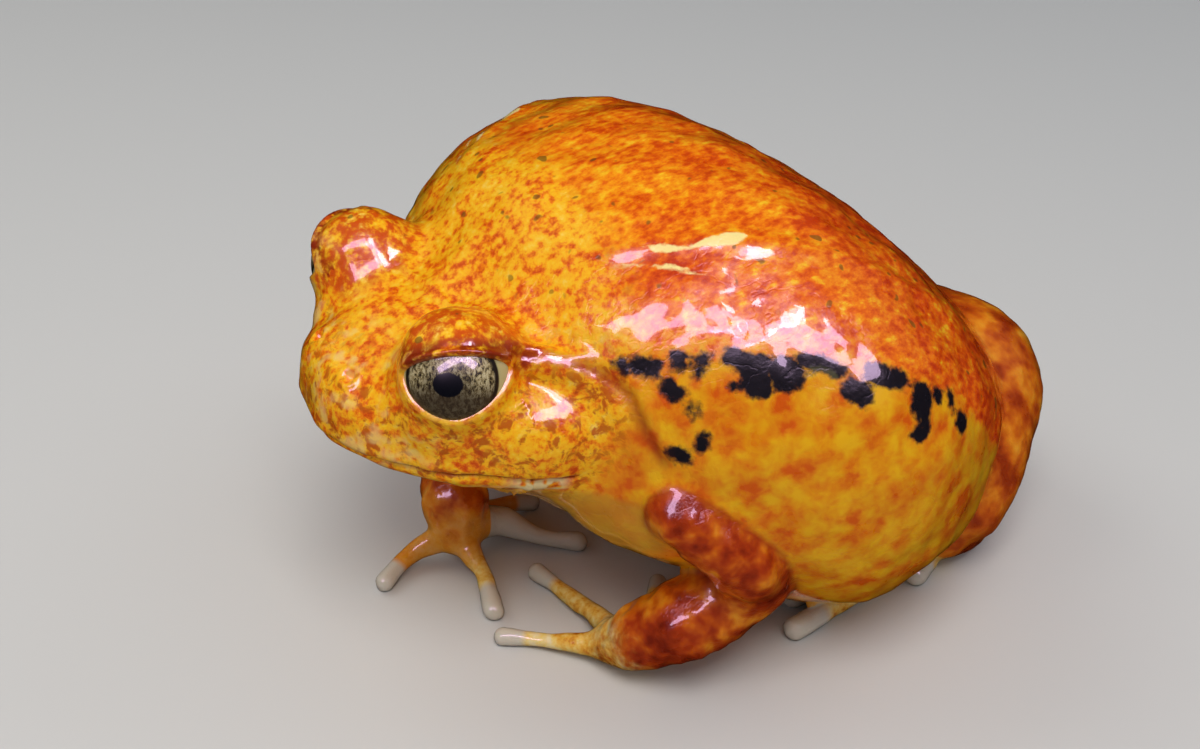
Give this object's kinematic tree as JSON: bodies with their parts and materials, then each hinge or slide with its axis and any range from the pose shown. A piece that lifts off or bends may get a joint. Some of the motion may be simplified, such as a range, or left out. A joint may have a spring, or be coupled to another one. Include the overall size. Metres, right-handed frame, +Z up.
{
  "type": "tomato frog",
  "caption": "Still life-size model of a tomato frog, crouched with its body blown up, head raised, hands spread in front and hind legs folded under the flanks.",
  "frame": {"origin": "middle of the bounding box, on the floor under the belly", "axes": "+Z up, the snout towards -Y, the frog's left side towards +X; +Y is the longest extent"},
  "size_m": [0.083, 0.09, 0.0547],
  "materials": {
    "skin_body": "wet orange-red skin with golden flanks and dark blotches",
    "skin_head": "wet golden-orange skin",
    "skin_limb": "wet dark red-orange skin",
    "skin_digit": "wet orange to cream skin, pale at the tips",
    "eye": "polished, grey-gold iris round a black oval pupil"
  },
  "bodies": {
    "root": {"torso": "skin_body", "head": "skin_head", "eye_left": "eye", "eye_right": "eye", "upper_arm_left": "skin_limb", "upper_arm_right": "skin_limb", "forearm_left": "skin_limb", "forearm_right": "skin_limb", "hand_left": "skin_digit", "hand_right": "skin_digit", "thigh_left": "skin_limb", "thigh_right": "skin_limb", "shank_left": "skin_limb", "shank_right": "skin_limb", "foot_left": "skin_digit", "foot_right": "skin_digit"}
  },
  "joints": []
}
